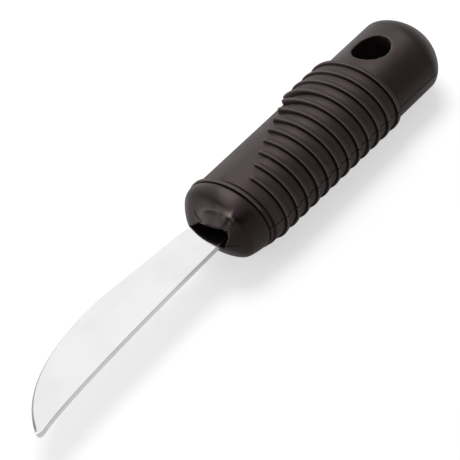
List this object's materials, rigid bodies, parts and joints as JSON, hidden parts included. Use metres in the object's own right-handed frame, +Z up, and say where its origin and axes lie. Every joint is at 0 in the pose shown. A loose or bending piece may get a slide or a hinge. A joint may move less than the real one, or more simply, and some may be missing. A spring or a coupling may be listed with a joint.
{
  "type": "rocker knife",
  "caption": "Rocker knife with a curved stainless blade fixed in a thick oval grip: ribbed rubber sleeve with a smooth finger panel over a two-shell core with a hanging hole.",
  "frame": {"origin": "middle of the length and width, on the plane that the knife lies on", "axes": "+X along the handle toward the blade tip, +Y toward the spine, +Z up out of the broad side it lies on"},
  "size_m": [0.201, 0.0366, 0.0269],
  "materials": {
    "core_shell": "satin",
    "grip_rubber": "satin",
    "blade_steel": "satin",
    "pin_steel": "plain"
  },
  "bodies": {
    "root": {"core_upper": "core_shell", "core_lower": "core_shell", "grip_sleeve": "grip_rubber", "blade": "blade_steel", "tang_pin_front": "pin_steel", "tang_pin_rear": "pin_steel"}
  },
  "joints": []
}
